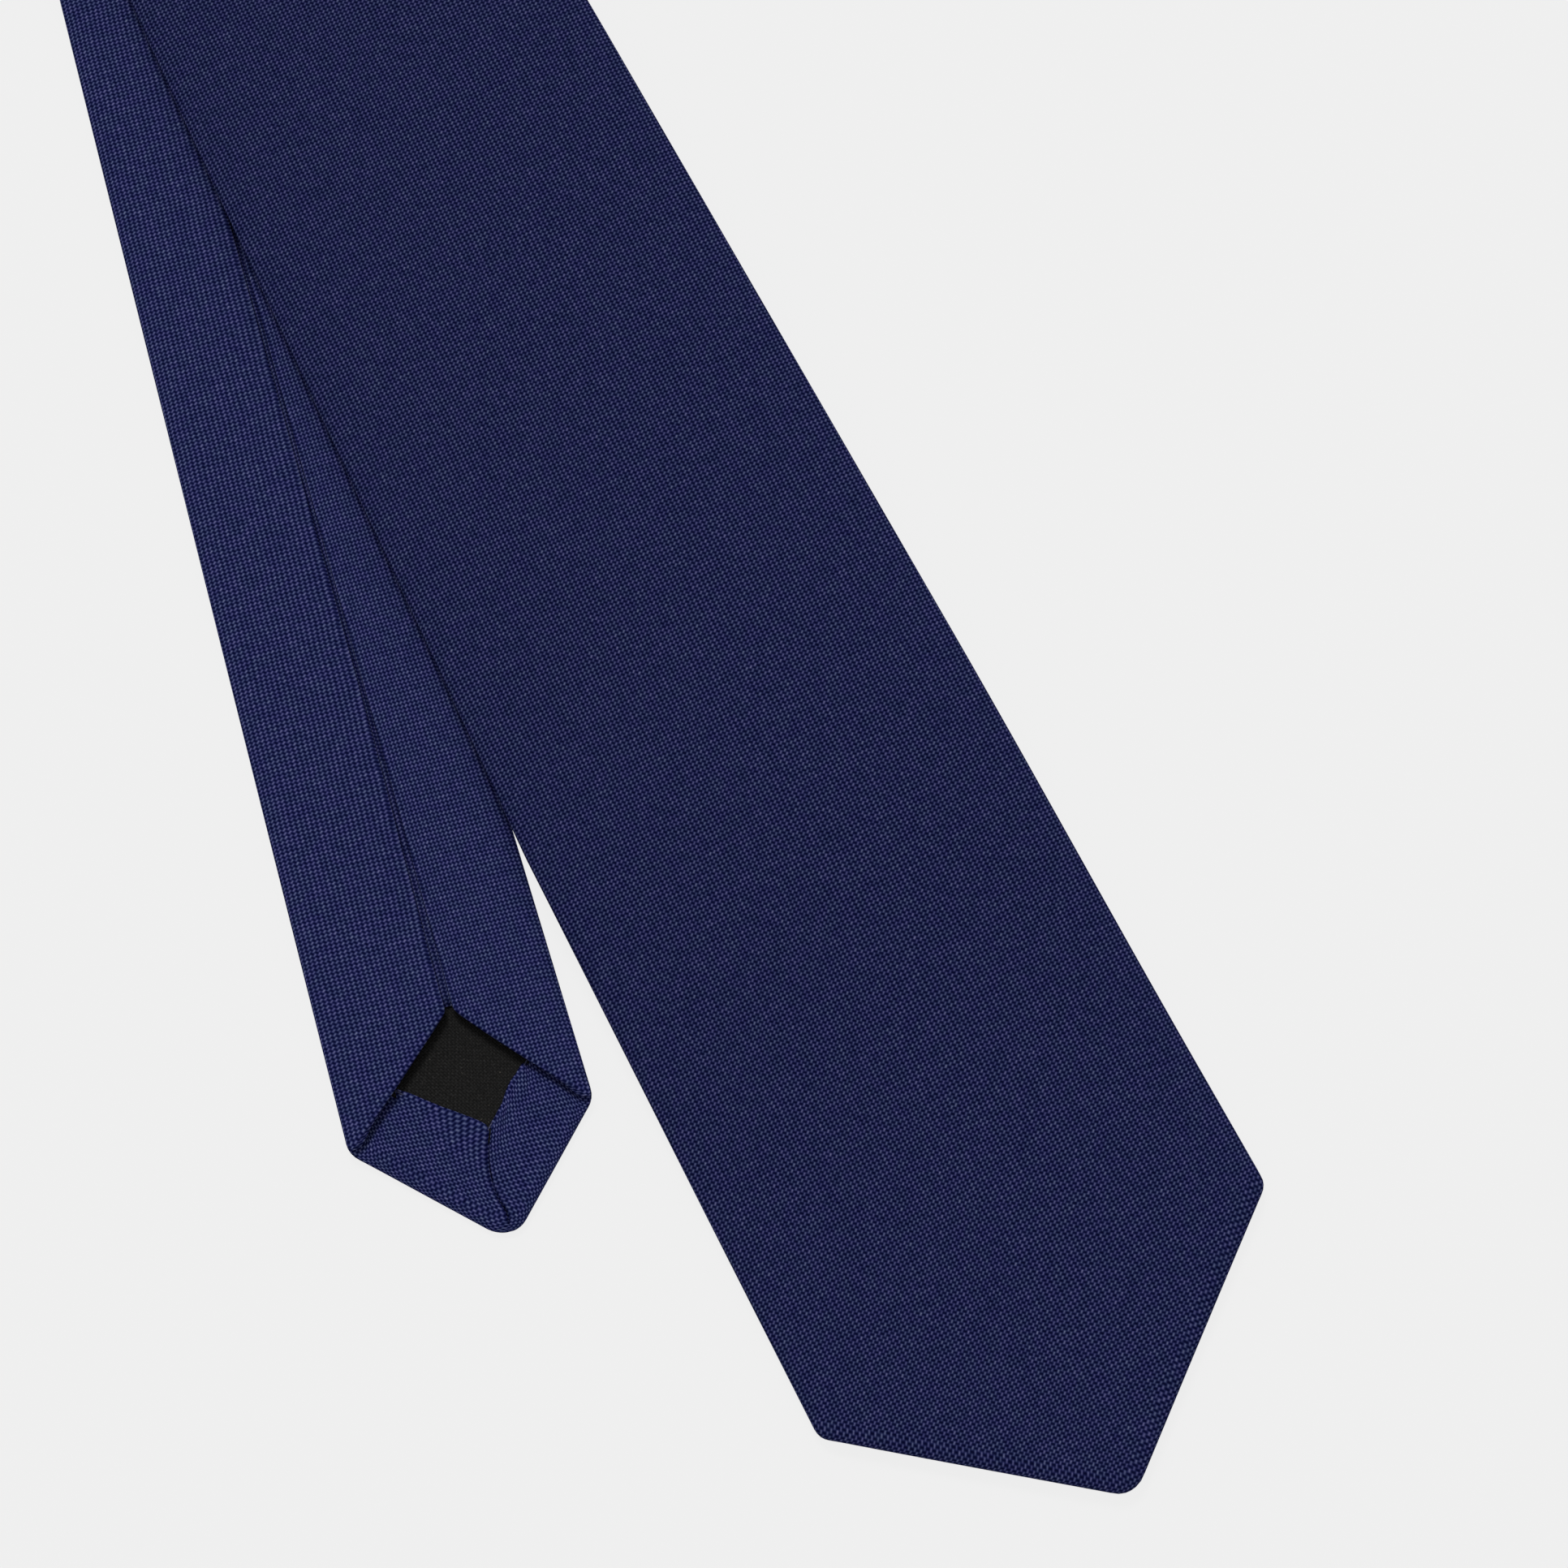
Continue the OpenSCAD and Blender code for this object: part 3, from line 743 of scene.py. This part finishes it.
def black_lining(name):
    """Fine black lining with a faint diagonal rib, uneven yarns and a little lint."""
    m = Shader(name)
    figure, height, warp_way, _, cloth = weave(
        m, 0.00040, math.radians(30.0), math.radians(-60.0), 0.0005, 1.2)
    fuzz = m.ramp(m.noise(cloth, 3200.0, 3.0), 0.3, 0.7, -0.5, 0.5, "LINEAR")
    yarn = m.ramp(m.noise(warp_way, 1.1), 0.3, 0.7, -0.25, 0.25, "LINEAR")
    glow = m.math("MULTIPLY_ADD", figure, 0.3, m.math("ADD", fuzz, yarn))
    shade = m.math("MULTIPLY", m.math("EXPONENT", glow), 0.0095)
    black = m.mix(1.0, m.join(shade, shade, shade), rgb(1.02, 1.0, 0.98), "MULTIPLY")
    lint = m.ramp(m.noise(cloth, 1500.0, 1.0), 0.72, 0.8)
    colour = m.mix(m.math("MULTIPLY", lint, 0.4), black, rgb(0.12, 0.11, 0.09))
    m.feed(m.surface.inputs["Base Color"], colour)
    m.feed(m.surface.inputs["Roughness"], m.ramp(height, 0.2, 2.0, 0.8, 0.6))
    m.fixed(Specular_IOR_Level=0.05)
    m.bump(m.math("ADD", height, fuzz), 0.00005, 0.5)
    return m.material


def napped_wool(name):
    """Cream interlining with a fuzzy nap."""
    m = Shader(name)
    figure, height, _, _, cloth = weave(m, 0.0011, math.radians(90.0), 0.0, 0.001, 0.3)
    fuzz = m.noise(cloth, 2600.0, 4.0)
    yarn = m.mix(m.ramp(figure, -1.0, 1.0), rgb(0.6, 0.56, 0.47), rgb(0.76, 0.73, 0.65))
    m.feed(m.surface.inputs["Base Color"], m.mix(fuzz, yarn, rgb(0.82, 0.79, 0.72)))
    m.fixed(Roughness=0.95, Sheen_Weight=0.3)
    m.bump(m.math("ADD", height, fuzz), 0.0002, 0.6)
    return m.material


def sewing_thread(name, colour):
    """Twisted thread: a fine slanted stripe along it."""
    m = Shader(name)
    place = m.node("ShaderNodeTexCoord").outputs["Object"]
    ply = m.node("ShaderNodeTexWave", bands_direction="DIAGONAL")
    m.feed(ply.inputs["Vector"], place)
    ply.inputs["Scale"].default_value = 900.0
    light = [min(1.0, 2.2 * c) for c in colour]
    m.feed(m.surface.inputs["Base Color"], m.mix(ply.outputs["Fac"], rgb(*colour), rgb(*light)))
    m.fixed(Roughness=0.6, Sheen_Weight=0.1)
    m.bump(ply.outputs["Fac"], 0.00005, 0.6)
    return m.material


def satin(name):
    """Blank label: dark satin with long floats."""
    m = Shader(name)
    figure, height, warp_way, _, _ = weave(m, 0.00022, math.radians(90.0), 0.0, 0.0001, 1.5)
    warp = m.mix(m.noise(warp_way, 0.9), rgb(0.009, 0.01, 0.022), rgb(0.02, 0.022, 0.045))
    shine = m.ramp(figure, -1.0, 1.0)
    m.feed(m.surface.inputs["Base Color"], m.mix(shine, rgb(0.004, 0.004, 0.01), warp))
    m.fixed(Roughness=0.5, Specular_IOR_Level=0.08, Anisotropic=0.5)
    m.bump(height, 0.00003, 0.4)
    return m.material


CLOTH = navy_cloth("navy_cloth", 1.0)
# The tail's copy of the cloth is painted 1.25 times brighter: painted light, for the brighter look
# its cloth has under the light
TAIL_CLOTH_PAINTED_LIGHT = navy_cloth("navy_cloth_tail_painted_light", 1.25)
LINING = black_lining("black_lining")
WOOL = napped_wool("interlining")
THREAD = sewing_thread("thread", (0.012, 0.014, 0.045))
SATIN = satin("label_satin")


# ---------------------------------------------------------------- pieces

TIP_ROWS = np.arange(6, POINT_S[1], 2.2)
CREASE_ROWS = np.linspace(CREASE_S - 6, CREASE_S + 6, 25)
FOLD_ROWS = 25


def rows_between(start, end, step):
    """Even rows from start to end, about step apart."""
    return np.linspace(start, end, int((end - start) / step) + 1)


def front_rows(start, end, step):
    """Rows along the front leg, closer together at the crease."""
    return np.concatenate([rows_between(start, CREASE_S - 8, step), CREASE_ROWS,
                           rows_between(CREASE_S + 10, end, step)])


def across_crease(piece):
    """A piece across the crease where the front blade folds up: its place is baked into its mesh.
    """
    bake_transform(piece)


def round_fold(piece):
    """A piece at the neck fold, where the front half opens away from the tail half: its place is
    baked into its mesh.
    """
    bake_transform(piece)


def panels():
    """The three panels of the cloth. The neck panel is cut where it meets the neck fold."""
    rows = np.concatenate([TIP_ROWS, front_rows(POINT_S[1], BLADE_SEAM_S, 5)])
    across_crease(cloth_piece(
        "front_panel", sleeve(BLADE, BLADE_SEAM_S, rows, 0.6, 0.1), CLOTH, CLOTH_T,
        ["blade_shell", "front_shell"]))

    rows = np.concatenate([TIP_ROWS, rows_between(POINT_S[1], TAIL_SEAM_S, 5)])
    allowance = seam_allowance()
    tail = cloth_piece(
        "tail_panel", sleeve(TAIL, TAIL_SEAM_S, rows, 2.1, 0.12), TAIL_CLOTH_PAINTED_LIGHT, CLOTH_T,
        ["tail_shell"])
    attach(tail, "tail_half")

    upper = cloth_piece(
        "neck_front_panel", tube_of_cloth(BLADE, BLADE_SEAM_S + SEAM_HALF, FOLD_S, 40, 1.1, 0.1),
        CLOTH, CLOTH_T, ["neck_front_shell"])
    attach(upper, "front_half")
    lower = cloth_piece(
        "neck_tail_panel", tube_of_cloth(TAIL, TAIL_SEAM_S + SEAM_HALF, TAIL_LEN, 40, 1.7, 0.1),
        CLOTH, CLOTH_T, ["neck_tail_shell"])
    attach(lower, "tail_half")
    round_fold(cloth_piece("neck_fold_panel", fold_of_cloth(FOLD_ROWS), CLOTH, CLOTH_T,
                           ["neck_fold_shell"]))


def seam_allowance():
    """The turned-under edge of the tail's right flap, which closes the bottom of the centre seam.

    It runs on past the panel seam as far as the longer flap does, since that seam is cut slanting.
    """
    longer_flap = 2 * TAIL.half(TAIL_SEAM_S) + SIDE_ROLL
    s = rows_between(TAIL.apex + 0.6, TAIL_SEAM_S + longer_flap, 2)[:, None]
    u = np.linspace(-0.7, 2.6, 9)
    depth = ALLOWANCE_D + 0.08 * np.cos(u * 1.4) + 0 * s
    flat = np.stack([u + 0 * s, s + 0 * u], -1)
    points = TAIL.put(-u + 0 * s, s + 0 * u, depth)
    piece = thicken(grid_mesh("tail_seam_allowance", points, flat, TAIL_CLOTH_PAINTED_LIGHT), CLOTH_T)
    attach(piece, "tail_half")
    return piece


def interlinings():
    """The cream layer inside, in one length that is cut at the neck fold."""
    rows = front_rows(4, FOLD_S, 6)
    layer = (INTERLINING_INSET, INTERLINING_D, INTERLINING_D)
    across_crease(cloth_piece(
        "front_interlining_cloth", inner_layer(BLADE, 4.0, rows, *layer), WOOL,
        INTERLINING_T, ["blade_interlining", "front_interlining"]))
    tail = cloth_piece(
        "tail_interlining_cloth",
        inner_layer(TAIL, 4.0, rows_between(4, TAIL_LEN, 6), *layer), WOOL,
        INTERLINING_T, ["tail_interlining"])
    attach(tail, "tail_half")
    round_fold(cloth_piece(
        "neck_fold_interlining_cloth",
        fold_layer(INTERLINING_D, INTERLINING_INSET, FOLD_ROWS), WOOL, INTERLINING_T,
        ["neck_fold_interlining"]))


def linings():
    """The lining of each tip, from under the turned cloth to inside the sleeve."""
    for name, leg, end, node, body in (("front", BLADE, 170, "blade_lining", "front_blade"),
                                       ("tail", TAIL, 90, "tail_lining", "tail_half")):
        start = leg.facing - TURNED_UNDER
        shape = inner_layer(leg, start, rows_between(start, end, 2.5), LINING_INSET, LINING_D,
                            LINING_EDGE_D)
        piece = cloth_piece(name + "_lining_cloth", shape, LINING, LINING_T, [node])
        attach(piece, body)


def tip_threads():
    """The seam between lining and turned cloth, and the mitre's, at both tips."""
    for name, leg, body in (("blade", BLADE, "front_blade"), ("tail", TAIL, "tail_half")):
        spots = [(side, a) for side in (-1, 1) for a in np.arange(0.8, leg.half_w / 2, 2.2)]
        low = leg.facing - 1.5
        runs = [stitch(leg, (side * a, low + leg.rise * a),
                       (side * (a + TIP_STITCH), low + leg.rise * (a + TIP_STITCH)),
                       LINING_D + LINING_T, 0.08)
                for side, a in spots]
        seam = thread_piece(name + "_lining_seam", runs, [name + "_lining_stitches"])
        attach(seam, body)
        runs = [stitch(leg, (0, s), (0, s + TIP_STITCH), FACING_D - MITRE_SINK, 0.08)
                for s in np.arange(leg.tip_r, leg.facing - 1, 2.0)]
        mitre = thread_piece(name + "_mitre_seam", runs, [name + "_mitre_stitches"])
        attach(mitre, body)


def panel_seam_threads():
    """The machine seams between the neck panel and the other two, across the face."""
    for name, leg, at, node, body in (
            ("front", BLADE, BLADE_SEAM_S, "front_seam_stitches", "front_half"),
            ("tail", TAIL, TAIL_SEAM_S, "tail_seam_stitches", "tail_half")):
        reach = float(leg.half(at)) - SIDE_ROLL
        runs = [stitch(leg, (u, at - leg.mirror * u),
                       (u + SEAM_STITCH, at - leg.mirror * (u + SEAM_STITCH)), FACE_D, -0.06)
                for u in np.arange(-reach, reach - SEAM_STITCH, 1.6)]
        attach(thread_piece(name + "_panel_seam", runs, [node]), body)


def slip_thread(name, leg, end, nodes):
    """One thread that zigzags between the two flaps, down inside the centre seam."""
    runs = []
    for i, s in enumerate(np.arange(leg.apex + 2.4, end - SLIP_STEP, SLIP_STEP)):
        side = SEAM_HALF * (1 if i % 2 else -1)
        runs.append(stitch(leg, (side, s), (-side, s + SLIP_STEP * 0.9), SLIP_D, 0.0))
    return thread_piece(name, runs, nodes)


def bar_tack():
    """A few threads wound tightly across the seam where the front flaps meet."""
    middle = BLADE.apex + 1.2
    runs = [stitch(BLADE, (-TACK_HALF, middle + k), (TACK_HALF, middle + k),
                   FLAP_D - 0.1, 0.14)
            for k in np.linspace(-0.5, 0.5, 5)]
    runs += [stitch(BLADE, (u, middle - 0.6), (u + 0.1, middle + 0.6), FLAP_D + 0.04, 0.12)
             for u in np.arange(-2.3, 2.4, 0.42)]
    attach(thread_piece("front_bar_tack", runs, ["blade_bar_tack"]), "front_blade")


def length_along(x, y):
    """The length of a line up to each of its points."""
    return np.concatenate([[0], np.cumsum(np.hypot(np.diff(x), np.diff(y)))])


def keeper_path():
    """The middle of the keeper's strip: out from the back at one foot, across, and in again."""
    deep = KEEPER_GAP + KEEPER_T / 2
    across = (KEEPER_W - KEEPER_T) / 2
    turn = np.linspace(0, math.pi / 2, 7)
    flat_x = np.linspace(across - KEEPER_BEND, 0, 14)[1:]
    x = np.concatenate([[across], across - KEEPER_BEND + KEEPER_BEND * np.cos(turn), flat_x])
    z = np.concatenate([[0.0], -deep + KEEPER_BEND - KEEPER_BEND * np.sin(turn),
                        np.full(len(flat_x), -deep)])
    return np.concatenate([x, -x[-2::-1]]), np.concatenate([z, z[-2::-1]])


def keeper_section():
    """Round the strip: its cloth is folded to two layers, with its own seam under its middle."""
    half = KEEPER_LEN / 2
    layer = (KEEPER_T - CLOTH_T) / 2
    turn = np.linspace(-math.pi / 2, math.pi / 2, 7)
    under = np.linspace(0.2, half - layer, 8)[:-1]
    over = np.linspace(half - layer, 0, 8)[1:]
    y = np.concatenate([under, half - layer + layer * np.cos(turn), over])
    n = np.concatenate([np.full(7, -layer), layer * np.sin(turn), np.full(7, layer)])
    return np.concatenate([y, -y[-2::-1]]), np.concatenate([n, n[-2::-1]])


def keeper():
    """The loop that holds the tail: a folded strip of cloth, sewn to the back at both ends."""
    path_x, path_z = keeper_path()
    y, n = keeper_section()
    along_x, along_z = np.gradient(path_x), np.gradient(path_z)
    length = np.hypot(along_x, along_z)
    x = path_x[:, None] - (along_z / length)[:, None] * n
    z = path_z[:, None] + (along_x / length)[:, None] * n
    points = np.stack([x, KEEPER_S + y + 0 * x, ON_TAIL_Z + z], -1)
    run = length_along(path_x, path_z)[:, None]
    flat = np.stack([0 * run + length_along(y, n), run + 0 * y], -1)
    band = cloth_piece("keeper_band", (points, flat), CLOTH, CLOTH_T, ["keeper_loop"])
    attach(band, "front_blade")

    foot_x = path_x[0] + 0.6
    runs = [[(side * foot_x, KEEPER_S + k * KEEPER_LEN / 3 + t, ON_TAIL_Z - 0.15)
             for t in (-1.4, -0.7, 0.0, 0.7, 1.4)]
            for side in (-1, 1) for k in (-1, 1)]
    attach(thread_piece("keeper_thread", runs, ["keeper_stitches"]), "front_blade")


def label():
    """A blank woven label, sewn on by its two ends."""
    u = np.linspace(-LABEL_W / 2, LABEL_W / 2, 35)
    s = np.linspace(-LABEL_LEN / 2, LABEL_LEN / 2, 17)[:, None]
    sag = 0.05 * np.cos(u / 5.0) * np.cos(s / 4.0)
    points = np.stack([u + 0 * s, LABEL_S + s + 0 * u, ON_TAIL_Z - LABEL_T - sag], -1)
    flat = np.stack([u + 0 * s, s + 0 * u], -1)
    piece = cloth_piece("blank_label", (points, flat), SATIN, LABEL_T, ["label"])
    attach(piece, "front_blade")

    stitched = LABEL_LEN * 0.4
    runs = [[(side * LABEL_W / 2 + du, LABEL_S + k, ON_TAIL_Z - 0.1 - 0.12 * abs(du))
             for du in (-0.6, -0.3, 0.0, 0.3, 0.6)]
            for side in (-1, 1) for k in np.arange(-stitched, stitched + 0.1, 1.6)]
    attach(thread_piece("label_thread", runs, ["label_stitches"]), "front_blade")


panels()
interlinings()
linings()
tip_threads()
panel_seam_threads()
across_crease(slip_thread("front_slip_thread", BLADE, FOLD_S,
                          ["blade_slip_stitch", "front_slip_stitch"]))
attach(slip_thread("tail_slip_thread", TAIL, TAIL_LEN, ["tail_slip_stitch"]), "tail_half")
bar_tack()
keeper()
label()


# ---------------------------------------------------------------- floor, light and camera

LIGHT_WAY = (-0.12, -0.63, -0.77)
CAMERA_TURN = math.radians(-22.414)
CAMERA_TILT = math.radians(17.5)
CAMERA_ROLL = math.radians(-5.0)
CAMERA_AIM = (4.96, 126.37, 0)
CAMERA_AWAY = 0.7786


def studio():
    """A plain pale floor with soft light from the upper left."""
    bpy.ops.mesh.primitive_plane_add(size=8.0)
    floor = bpy.context.object
    floor.name = "floor"
    m = Shader("floor")
    m.fixed(Base_Color=(0.04, 0.04, 0.04, 1.0), Roughness=1.0, Specular_IOR_Level=0.0,
            Emission_Color=(1.0, 1.0, 1.0, 1.0), Emission_Strength=0.827)
    floor.data.materials.append(m.material)

    world = bpy.data.worlds.new("studio")
    world.use_nodes = True
    world.node_tree.nodes["Background"].inputs["Color"].default_value = (1.0, 1.0, 1.0, 1.0)
    world.node_tree.nodes["Background"].inputs["Strength"].default_value = 0.5
    bpy.context.scene.world = world

    key = bpy.data.lights.new("key", "SUN")
    key.energy = 1.8
    key.angle = math.radians(20.0)
    lamp = bpy.data.objects.new("key", key)
    lamp.rotation_euler = Vector(LIGHT_WAY).to_track_quat("-Z", "Y").to_euler()
    bpy.context.scene.collection.objects.link(lamp)
    bpy.context.scene.view_settings.view_transform = "Standard"


def camera():
    """Above the front tip, a little off the vertical, looking along both legs."""
    turn = Matrix.Rotation(CAMERA_TURN, 3, "Z")
    tilt = Matrix.Rotation(CAMERA_TILT, 3, "X")
    roll = Matrix.Rotation(CAMERA_ROLL, 3, "Z")
    look = turn @ tilt @ roll
    back = look @ Vector((0, 0, CAMERA_AWAY))
    aim = Vector(to_frame(CAMERA_AIM))
    data = bpy.data.cameras.new("camera")
    data.lens = 111.8
    data.sensor_width = 36.0
    made = bpy.data.objects.new("camera", data)
    made.matrix_world = Matrix.Translation(aim + back) @ look.to_4x4()
    bpy.context.scene.collection.objects.link(made)
    bpy.context.scene.camera = made


studio()
camera()
